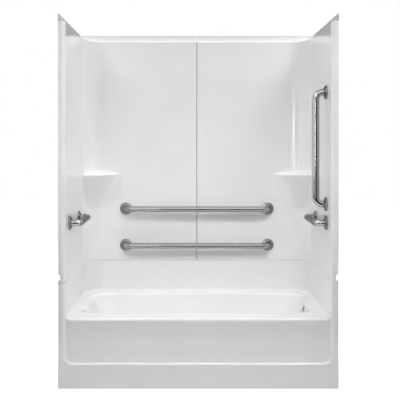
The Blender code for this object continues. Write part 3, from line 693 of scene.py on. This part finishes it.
BARS = {"back_upper": (0, -1, 0), "back_lower": (0, -1, 0), "left": (1, 0, 0), "right": (-1, 0, 0),
        "upright": (-1, 0, 0)}
TUBE_RADIUS = 0.019
TUBE_WALL = 0.0015
PLATE = 0.003
WALL_GAP = 0.0003            # between the wall and a tube's end or a plate
STANDOFF = 0.0605            # from the wall's face to the tube's centre line
ELBOW = 0.040                # radius of that line's bends
FLANGE_RADIUS = 0.038


def flange_centre(bar, number):
    """Where a flange sits on the wall's face, from the box of its cover."""
    low, high = (Vector(corner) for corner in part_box(f"{bar}_cover_{number}"))
    centre = (low + high) / 2
    if BARS[bar][1]:
        centre.y = BACK_FACE
    else:
        centre.x = -BARS[bar][0] * SIDE_FACE
    return centre


def ring_skin(mesh_data, rings, lengths, closed=False):
    """Skins round rings one after another, with a map in metres: round the ring, then along."""
    layer = mesh_data.loops.layers.uv.verify()
    count = len(rings[0])
    lines = vertices(mesh_data, rings)
    girths = [sum((ring[step] - ring[step - 1]).length for step in range(count)) for ring in rings]
    if closed:
        lines.append(lines[0])
        girths.append(girths[0])
    for place, (here, following) in enumerate(zip(lines, lines[1:])):
        girth = max(girths[place:place + 2])
        for index in range(count):
            after = (index + 1) % count
            face = mesh_data.faces.new((here[index], here[after], following[after], following[index]))
            face.smooth = True
            for loop, (step, at) in zip(face.loops, ((index, 0), (index + 1, 0), (index + 1, 1), (index, 1))):
                loop[layer].uv = (step / count * girth, lengths[place + at])


def lathe(mesh_data, centre, axis, profile, sides=64):
    """Turns a closed profile of (radius, height) round an axis."""
    across = Vector((0, 0, 1)) if abs(axis.z) < 0.5 else Vector((1, 0, 0))
    other = axis.cross(across)
    rings = [circle(centre + axis * height, across, other, radius, sides) for radius, height in profile]
    lengths = [0.0]
    for before, here in zip(profile, profile[1:] + profile[:1]):
        lengths.append(lengths[-1] + hypot(here[0] - before[0], here[1] - before[1]))
    ring_skin(mesh_data, rings, lengths, closed=True)


def finish_metal(name, mesh_data, material):
    bmesh.ops.recalc_face_normals(mesh_data, faces=mesh_data.faces)
    piece = new_object(name, mesh_data)
    piece.data.materials.append(material)
    piece.data.set_sharp_from_angle(angle=radians(50))
    return piece


def bar_path(start, end, out):
    """Centre line of a bent tube: off the wall, round an elbow, along, round and back."""
    along = (end - start).normalized()
    axis_start, axis_end = start + out * STANDOFF, end + out * STANDOFF
    points = [start + out * reach for reach in (WALL_GAP, 0.010, STANDOFF - ELBOW)]
    for gone, short in quarter_round(12, first=1):
        points.append(axis_start + along * ELBOW * gone - out * ELBOW * short)
    run = axis_end - along * ELBOW - points[-1]
    points += [points[-1] + run * share for share in (0.25, 0.5, 0.75, 1.0)]
    for gone, short in quarter_round(12, first=1):
        points.append(axis_end - along * ELBOW * short - out * ELBOW * gone)
    points += [end + out * 0.010, end + out * WALL_GAP]
    return points


def make_bar(bar):
    out = Vector(BARS[bar])
    start, end = flange_centre(bar, 1), flange_centre(bar, 2)
    along = (end - start).normalized()
    side = along.cross(out)
    points = bar_path(start, end, out)
    mesh_data = bmesh.new()
    rings, lengths, total = [], [], 0.0
    for index, point in enumerate(points):
        before, after = points[max(index - 1, 0)], points[min(index + 1, len(points) - 1)]
        heading = (after - before).normalized()
        if index > 0:
            total += (point - points[index - 1]).length
        lift = side.cross(heading)
        rings.append(circle(point, lift, side, TUBE_RADIUS, 48))
        lengths.append(total)
    ring_skin(mesh_data, rings, lengths)
    # Flange plate with broken edges, then the weld that climbs the tube
    low, high, broken = WALL_GAP, WALL_GAP + PLATE, 0.0004
    plate = [(TUBE_RADIUS - TUBE_WALL, low), (FLANGE_RADIUS - broken, low), (FLANGE_RADIUS, low + broken),
             (FLANGE_RADIUS, high - broken), (FLANGE_RADIUS - broken, high)]
    weld = [(TUBE_RADIUS + 0.003, high), (TUBE_RADIUS + 0.001, high + 0.0009),
            (TUBE_RADIUS - 0.0002, high + 0.003)]
    for centre in (start, end):
        lathe(mesh_data, centre, out, plate + weld)
    piece = finish_metal(f"{bar}_bent_tube", mesh_data, satin_stainless)
    place_piece(piece, "steel", f"{bar}_bar")


def make_cover(bar, number):
    """Snap-on cover: upright side, rounded shoulder, low dome and a turned-in edge round the tube."""
    rim, side, bend, neck, crown, sheet = 0.0390, 0.0052, 0.0030, 0.0207, 0.0155, 0.0011
    profile = [(rim, 0.0004), (rim, side)]
    for step in range(1, 7):
        angle = 0.43 * pi * step / 6
        profile.append((rim - bend * (1 - cos(angle)), side + bend * sin(angle)))
    shoulder = profile[-1]

    def dome(share, inward=0.0, down=0.0):
        return (shoulder[0] - inward + (neck - shoulder[0]) * share,
                shoulder[1] - down + (crown - shoulder[1]) * sin(0.5 * pi * share))

    profile += [dome(step / 8) for step in range(1, 9)]
    profile += [(0.0197, 0.0152), (0.0194, 0.0145), (0.0194, 0.0135), (0.0203, 0.0134)]
    profile += [dome(step / 8, inward=0.0010, down=0.0012) for step in range(7, -1, -1)]
    profile += [(rim - sheet, side), (rim - sheet, 0.0004)]
    mesh_data = bmesh.new()
    lathe(mesh_data, flange_centre(bar, number), Vector(BARS[bar]), profile)
    piece = finish_metal(f"{bar}_domed_cover_{number}", mesh_data, spun_stainless)
    place_piece(piece, "cover", f"{bar}_cover_{number}")


# Materials

def linear(code):
    """Linear colour of an sRGB hex value."""
    values = [int(code[place:place + 2], 16) / 255 for place in (1, 3, 5)]
    return tuple(v / 12.92 if v <= 0.04045 else ((v + 0.055) / 1.055) ** 2.4 for v in values) + (1.0,)


def add_node(tree, kind, settings=None, links=None, stops=()):
    """Adds a node with its settings, its links from nodes or their outputs, and its colour stops."""
    node = tree.nodes.new(kind)
    for name, value in (settings or {}).items():
        if isinstance(name, str) and hasattr(node, name):
            setattr(node, name, value)
        else:
            node.inputs[name].default_value = value
    for name, source in (links or {}).items():
        tree.links.new(source.outputs[0] if hasattr(source, "outputs") else source, node.inputs[name])
    for index, (place, code) in enumerate(stops):
        elements = node.color_ramp.elements
        element = elements[index] if index < len(elements) else elements.new(place)
        element.position, element.color = place, linear(code)
    return node


def new_material(name):
    """A material and the function that adds a node to it."""
    material = bpy.data.materials.new(name)
    material.use_nodes = True
    material.node_tree.nodes.clear()
    return material, partial(add_node, material.node_tree)


def moulded_gelcoat():
    """Polyester gelcoat sprayed in a polished mould: a deep even gloss that mirrors the room at a slant, very
    slightly wavy where the glass behind prints through, with a faint orange peel."""
    material, add = new_material("moulded_polyester_gelcoat")
    place = add("ShaderNodeTexCoord").outputs["Object"]
    broad = add("ShaderNodeTexNoise", {"Scale": 5.0, "Detail": 2.0}, {"Vector": place})
    cloud = add("ShaderNodeTexNoise", {"Scale": 14.0, "Detail": 3.0}, {"Vector": place})
    fine = add("ShaderNodeTexNoise", {"Scale": 170.0, "Detail": 2.0}, {"Vector": place})
    long = add("ShaderNodeTexNoise", {"Scale": 11.0, "Detail": 1.0}, {"Vector": place})
    colour = add("ShaderNodeValToRGB", None, {"Fac": broad}, ((0.3, "#F4F5F5"), (0.7, "#F8F8F8")))
    rough = add("ShaderNodeMapRange", {"From Min": 0.3, "From Max": 0.7, "To Min": 0.025, "To Max": 0.05},
                {"Value": cloud})
    # Waves about 90 mm long and a quarter of a millimetre high, then peel drawn at 6 mm so that it shows
    wave = add("ShaderNodeBump", {"Strength": 0.5, "Distance": 0.0004}, {"Height": long})
    peel = add("ShaderNodeBump", {"Strength": 0.25, "Distance": 0.00006}, {"Height": fine, "Normal": wave})
    shader = add("ShaderNodeBsdfPrincipled", {"IOR": 1.52},
                 {"Base Color": colour, "Roughness": rough, "Normal": peel})
    add("ShaderNodeOutputMaterial", None, {"Surface": shader})
    return material


def mottled(name, noise, stops, roughness, relief=None, settings=None, mapped="Object", stretch=None):
    """A material whose colour, roughness and relief, where it has one, follow one noise."""
    material, add = new_material(name)
    place = add("ShaderNodeTexCoord").outputs[mapped]
    if stretch:
        place = add("ShaderNodeMapping", {"Scale": stretch}, {"Vector": place})
    marks = add("ShaderNodeTexNoise", noise, {"Vector": place})
    colour = add("ShaderNodeValToRGB", None, {"Fac": marks}, stops)
    low, high = roughness
    rough = add("ShaderNodeMapRange", {"From Min": 0.3, "From Max": 0.7, "To Min": low, "To Max": high},
                {"Value": marks})
    links = {"Base Color": colour, "Roughness": rough}
    if relief:
        links["Normal"] = add("ShaderNodeBump", relief, {"Height": marks})
    shader = add("ShaderNodeBsdfPrincipled", settings, links)
    add("ShaderNodeOutputMaterial", None, {"Surface": shader})
    return material


def flange_grey_and_strip_shade():
    """Gelcoat a touch greyer and duller: on the top part of the nailing flange, which the wall board covers,
    and on the flat strip of the left front flange, where the grey is painted shade."""
    return mottled("greyer_flange_and_painted_strip_shade", {"Scale": 35.0, "Detail": 4.0, "Roughness": 0.6},
                   ((0.3, "#EBEBEA"), (0.7, "#F1F1F0")), (0.12, 0.25),
                   {"Strength": 0.3, "Distance": 0.0002}, {"IOR": 1.52})


def bright_screw():
    """Stainless screw, tumbled after the thread is rolled: even grey with small dull marks."""
    return mottled("tumbled_stainless_screw", {"Scale": 900.0, "Detail": 3.0},
                   ((0.3, "#A9A9A8"), (0.7, "#C2C2C1")), (0.28, 0.42), settings={"Metallic": 1.0})


def butyl_strip():
    """Extruded butyl strip: dark grey, soft and dull, with a light bloom."""
    return mottled("extruded_butyl_strip", {"Scale": 60.0, "Detail": 4.0, "Roughness": 0.6},
                   ((0.35, "#3A3B3D"), (0.7, "#4A4B4D")), (0.6, 0.8), {"Strength": 0.3, "Distance": 0.0002})


def overflow_hole_shade_edge():
    """Cut edge of the overflow hole, painted near-black as painted shade for the dark inside of the hole:
    black with faint strokes.
    """
    return mottled("black_painted_shade_overflow_hole_edge", {"Scale": 400.0, "Detail": 3.0},
                   ((0.3, "#020202"), (0.7, "#060607")), (0.75, 0.95), settings={"Specular IOR Level": 0.1})


def sprayed_laminate():
    """Chopped glass strands wetted out with resin and rolled down: pale green-grey, with strands lying
    every way."""
    material, add = new_material("sprayed_chopped_strand_laminate")
    place = add("ShaderNodeTexCoord").outputs["Object"]
    # Strands are 30 to 50 mm long and drawn 3 mm wide, as a bundle of them looks
    layers = None
    for turn in ((0.3, 0.5, 0.2), (1.1, -0.4, 0.9), (-0.7, 1.3, 1.9), (2.0, 0.2, -0.8)):
        turned = add("ShaderNodeMapping", {"Rotation": turn, "Scale": (24.0, 300.0, 300.0)},
                     {"Vector": place})
        strand = add("ShaderNodeTexNoise", {"Scale": 1.0, "Detail": 2.0}, {"Vector": turned})
        layers = strand if layers is None else add("ShaderNodeMath", {"operation": "MAXIMUM"},
                                                   {0: layers, 1: strand})
    cloud = add("ShaderNodeTexNoise", {"Scale": 9.0, "Detail": 4.0, "Roughness": 0.6}, {"Vector": place})
    fibres = add("ShaderNodeValToRGB", None, {"Fac": layers},
                 ((0.50, "#A9AC9C"), (0.62, "#BFC2B4"), (0.74, "#DCDED3")))
    tint = add("ShaderNodeValToRGB", None, {"Fac": cloud}, ((0.3, "#E2E4DA"), (0.7, "#FFFFFF")))
    colour = add("ShaderNodeMix", {"data_type": "RGBA", "blend_type": "MULTIPLY", 0: 1.0},
                 {6: fibres, 7: tint})
    rough = add("ShaderNodeMapRange", {"From Min": 0.5, "From Max": 0.75, "To Min": 0.55, "To Max": 0.36},
                {"Value": layers})
    bump = add("ShaderNodeBump", {"Strength": 0.7, "Distance": 0.0012}, {"Height": layers})
    shader = add("ShaderNodeBsdfPrincipled", {"IOR": 1.55},
                 {"Base Color": colour.outputs[2], "Roughness": rough, "Normal": bump})
    add("ShaderNodeOutputMaterial", None, {"Surface": shader})
    return material


def satin_tube():
    """Stainless tube polished round and round on a belt: crisp bright and dark bands along it, with fine
    rings. Seen at a slant the belt's grooves hide their own floor, so the tube is darker there."""
    material, add = new_material("satin_polished_stainless_tube")
    place = add("ShaderNodeTexCoord").outputs["UV"]
    # Rings left by the belt, drawn 1.5 mm apart so that they show
    drawn = add("ShaderNodeMapping", {"Scale": (12.0, 650.0, 1.0)}, {"Vector": place})
    rings = add("ShaderNodeTexNoise", {"Scale": 1.0, "Detail": 3.0, "Roughness": 0.7}, {"Vector": drawn})
    smears = add("ShaderNodeTexNoise", {"Scale": 22.0, "Detail": 3.0}, {"Vector": place})
    colour = add("ShaderNodeValToRGB", None, {"Fac": rings}, ((0.35, "#A4A4A6"), (0.65, "#B0B0B2")))
    mixed = add("ShaderNodeMath", {"operation": "MULTIPLY"}, {0: rings, 1: smears})
    rough = add("ShaderNodeMapRange", {"From Min": 0.15, "From Max": 0.4, "To Min": 0.06, "To Max": 0.11},
                {"Value": mixed})
    bump = add("ShaderNodeBump", {"Strength": 0.12, "Distance": 0.00005}, {"Height": rings})
    shader = add("ShaderNodeBsdfPrincipled", {"Metallic": 1.0, "Specular Tint": linear("#A8A8A8")},
                 {"Base Color": colour, "Roughness": rough, "Normal": bump})
    add("ShaderNodeOutputMaterial", None, {"Surface": shader})
    return material


def spun_cover():
    """Stainless sheet spun to a dome and buffed: rings round the axis, darker than the tube, most of all at a
    slant, where it outlines the dome."""
    return mottled("spun_stainless_cover", {"Scale": 1.0, "Detail": 2.0, "Roughness": 0.6},
                   ((0.35, "#86868A"), (0.65, "#9C9CA0")), (0.10, 0.17),
                   {"Strength": 0.15, "Distance": 0.00006},
                   {"Metallic": 1.0, "Specular Tint": linear("#707070")}, "UV", (10.0, 900.0, 1.0))


def plywood(name, through):
    """Softwood plywood: long grain on the face, and five plies, light and dark by turns, on the cut edge."""
    material, add = new_material(name)
    place = add("ShaderNodeTexCoord").outputs["Object"]
    scale = {"x": (120.0, 56.0, 6.4), "y": (56.0, 120.0, 6.4), "z": (6.4, 56.0, 120.0)}[through]
    drawn = add("ShaderNodeMapping", {"Scale": scale}, {"Vector": place})
    grain = add("ShaderNodeTexNoise", {"Scale": 1.0, "Detail": 5.0, "Roughness": 0.65, "Distortion": 0.6},
                {"Vector": drawn})
    face = add("ShaderNodeValToRGB", None, {"Fac": grain},
               ((0.30, "#8A6440"), (0.45, "#B0895C"), (0.62, "#C8A678"), (0.75, "#D6B98D")))
    depth = add("ShaderNodeSeparateXYZ", None, {"Vector": place}).outputs["XYZ".index(through.upper())]
    # Plies 3.6 mm thick
    phase = add("ShaderNodeMath", {"operation": "MULTIPLY", 1: 2 * pi / 0.0072}, {0: depth})
    plies = add("ShaderNodeMath", {"operation": "SINE"}, {0: phase})
    tint = add("ShaderNodeValToRGB", None, {"Fac": plies}, ((0.0, "#B9AA98"), (0.6, "#FFFFFF")))
    colour = add("ShaderNodeMix", {"data_type": "RGBA", "blend_type": "MULTIPLY", 0: 0.7}, {6: face, 7: tint})
    rough = add("ShaderNodeMapRange", {"From Min": 0.3, "From Max": 0.7, "To Min": 0.62, "To Max": 0.8},
                {"Value": grain})
    bump = add("ShaderNodeBump", {"Strength": 0.35, "Distance": 0.0005}, {"Height": grain})
    shader = add("ShaderNodeBsdfPrincipled", None,
                 {"Base Color": colour.outputs[2], "Roughness": rough, "Normal": bump})
    add("ShaderNodeOutputMaterial", None, {"Surface": shader})
    return material


def sawn_spruce():
    """Sawn spruce: pale wood with darker late-wood lines along it and saw marks across."""
    material, add = new_material("sawn_spruce")
    place = add("ShaderNodeTexCoord").outputs["Object"]
    drawn = add("ShaderNodeMapping", {"Scale": (3.0, 130.0, 130.0)}, {"Vector": place})
    grain = add("ShaderNodeTexNoise", {"Scale": 1.0, "Detail": 4.0, "Roughness": 0.6, "Distortion": 0.4},
                {"Vector": drawn})
    across = add("ShaderNodeMapping", {"Scale": (420.0, 12.0, 12.0)}, {"Vector": place})
    saw = add("ShaderNodeTexNoise", {"Scale": 1.0, "Detail": 1.0}, {"Vector": across})
    colour = add("ShaderNodeValToRGB", None, {"Fac": grain},
                 ((0.32, "#A97F52"), (0.48, "#CFAF80"), (0.7, "#DFC598")))
    lines = add("ShaderNodeBump", {"Strength": 0.4, "Distance": 0.0004}, {"Height": grain})
    marks = add("ShaderNodeBump", {"Strength": 0.3, "Distance": 0.0003}, {"Height": saw, "Normal": lines})
    shader = add("ShaderNodeBsdfPrincipled", {"Roughness": 0.78}, {"Base Color": colour, "Normal": marks})
    add("ShaderNodeOutputMaterial", None, {"Surface": shader})
    return material


def studio_cloth():
    """Matt black cloth that the metal and the gloss reflect, a little uneven with its nap."""
    material, add = new_material("matt_black_studio_cloth")
    place = add("ShaderNodeTexCoord").outputs["Object"]
    nap = add("ShaderNodeTexNoise", {"Scale": 0.7, "Detail": 2.0}, {"Vector": place})
    colour = add("ShaderNodeValToRGB", None, {"Fac": nap}, ((0.3, "#18181A"), (0.7, "#242425")))
    shader = add("ShaderNodeBsdfPrincipled", {"Roughness": 0.9}, {"Base Color": colour})
    add("ShaderNodeOutputMaterial", None, {"Surface": shader})
    return material


# Studio

WORLD_FILL = 0.06            # strength of the white world as light
FLOOR_GLOW = 0.9             # added to the floor where it is looked at


def softbox(name, place, target, size, power, spread=180, mirrored=True, lights=True):
    """An area lamp aimed at a point. Gloss shows it if it is mirrored, and matt surfaces if it lights."""
    data = bpy.data.lights.new(name, "AREA")
    data.shape = "RECTANGLE"
    data.size, data.size_y = size
    data.energy = power
    data.spread = radians(spread)
    lamp = put_in_scene(name, data)
    lamp.location = place
    lamp.rotation_euler = (Vector(target) - Vector(place)).to_track_quat("-Z", "Y").to_euler()
    lamp.visible_camera = False
    lamp.visible_glossy = mirrored
    lamp.visible_diffuse = lights


def stage_plane(name, material, *corners):
    mesh = bpy.data.meshes.new(name)
    mesh.from_pydata(corners, [], [(0, 1, 2, 3)])
    mesh.materials.append(material)
    plane = put_in_scene(name, mesh)
    return plane


def seen_white(add):
    """One where the camera, a mirror or glass looks straight at the backdrop, and nought for its light."""
    path = add("ShaderNodeLightPath")
    seen = add("ShaderNodeMath", {"operation": "MAXIMUM"},
               {0: path.outputs["Is Camera Ray"], 1: path.outputs["Is Glossy Ray"]})
    return add("ShaderNodeMath", {"operation": "MAXIMUM"}, {0: seen, 1: path.outputs["Is Transmission Ray"]})


def make_studio():
    world = bpy.data.worlds.new("studio")
    bpy.context.scene.world = world
    world.use_nodes = True
    world.node_tree.nodes.clear()
    add = partial(add_node, world.node_tree)
    lit = add("ShaderNodeBackground", {"Color": linear("#FFFFFF"), "Strength": WORLD_FILL})
    shown = add("ShaderNodeBackground", {"Color": linear("#FFFFFF"), "Strength": 1.0})
    mix = add("ShaderNodeMixShader", None, {0: seen_white(add), 1: lit, 2: shown})
    add("ShaderNodeOutputWorld", None, {0: mix})

    floor_material, add = new_material("pale_studio_floor")
    paint = add("ShaderNodeBsdfPrincipled", {"Base Color": linear("#D2D2D2"), "Roughness": 0.95})
    glow = add("ShaderNodeMath", {"operation": "MULTIPLY", 1: FLOOR_GLOW}, {0: seen_white(add)})
    light = add("ShaderNodeEmission", {"Color": linear("#FFFFFF")}, {"Strength": glow})
    both = add("ShaderNodeAddShader", None, {0: paint, 1: light})
    add("ShaderNodeOutputMaterial", None, {"Surface": both})
    stage_plane("floor", floor_material, (-14, -14, 0), (14, -14, 0), (14, 14, 0), (-14, 14, 0))

    cloth = studio_cloth()
    cards = []
    for name, left, right, y, low, high in (("behind", -7, 7, 4, 1.6, 8), ("front", -0.6, 9, -7, 0, 2.4),
                                            ("left", -9, -3.4, -7, 0, 2.4)):
        cards.append(stage_plane(f"dark_studio_{name}", cloth, (left, y, low), (right, y, low),
                                 (right, y, high), (left, y, high)))
    cards.append(stage_plane("dark_studio_floor", cloth, (-9, -7, 0.004), (9, -7, 0.004),
                             (9, -1.5, 0.004), (-9, -1.5, 0.004)))
    for card in cards:
        card.visible_camera = card.visible_diffuse = False
        card.visible_transmission = card.visible_shadow = False

    middle = (0, 0.1, 1.1)
    softbox("left_softbox", (-3.0, -3.75, 3.86), middle, (1.3, 1.3), 25)
    softbox("right_softbox", (3.0, -3.75, 3.86), middle, (1.3, 1.3), 8)
    softbox("high_left_softbox", (-2.2, -0.8, 4.2), (0.7, 0, 1.0), (1.4, 1.4), 36)
    softbox("high_right_softbox", (2.2, -0.8, 4.2), (-0.7, 0, 1.0), (1.4, 1.4), 67)
    softbox("overhead_softbox", (0, 0.0, 4.4), (0, 0.1, 0), (3.0, 3.0), 12, mirrored=False)
    softbox("side_softbox", (-3.6, -1.6, 1.6), (0.7, -0.2, 1.2), (1.4, 1.4), 12)
    softbox("far_side_softbox", (3.6, -1.6, 1.6), (-0.7, -0.2, 1.2), (1.4, 1.4), 10)
    softbox("back_softbox", (0, 4.2, 3.0), (0, 0.4, 1.0), (2.6, 1.6), 75, mirrored=False)
    softbox("tub_lamp", (0, -2.6, 3.6), (0, 0.3, 0.5), (2.0, 1.0), 4.6, 32, mirrored=False)
    softbox("front_light_bank", (0, -4.2, 3.2), (0, 0.3, 1.1), (4.0, 0.3), 15)
    softbox("strip_light", (-1.25, -3.5, 1.5), (0.63, 0.38, 1.42), (0.12, 0.78), 0.15, 24, lights=False)


make_camera()
gelcoat = moulded_gelcoat()
greyer_flange_and_strip_shade = flange_grey_and_strip_shade()
raw_laminate = sprayed_laminate()
overflow_hole_shade = overflow_hole_shade_edge()
satin_stainless = satin_tube()
spun_stainless = spun_cover()
make_tub()
make_wall_panel("left_wall_moulding", -1, "left_wall_panel")
make_wall_panel("right_wall_moulding", 1, "right_wall_panel")
for bar in BARS:
    make_bar(bar)
    make_cover(bar, 1)
    make_cover(bar, 2)

screw = bright_screw()
boards = {"back": plywood("plywood_back_board", "y"), "side": plywood("plywood_side_board", "x"),
          "floor": plywood("plywood_floor_board", "z")}
boards["upright"] = boards["side"]
spruce = sawn_spruce()
butyl = butyl_strip()
for name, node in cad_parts.items():
    if "screw" in name:
        finish = screw
    elif name.endswith("_board"):
        finish = boards[name.split("_")[-2]]
    elif name.endswith("_runner"):
        finish = spruce
    elif name.endswith("_gasket"):
        finish = butyl
    else:
        continue
    node.data.materials.clear()
    node.data.materials.append(finish)

make_studio()
scene = bpy.context.scene
scene.view_settings.view_transform = "Standard"
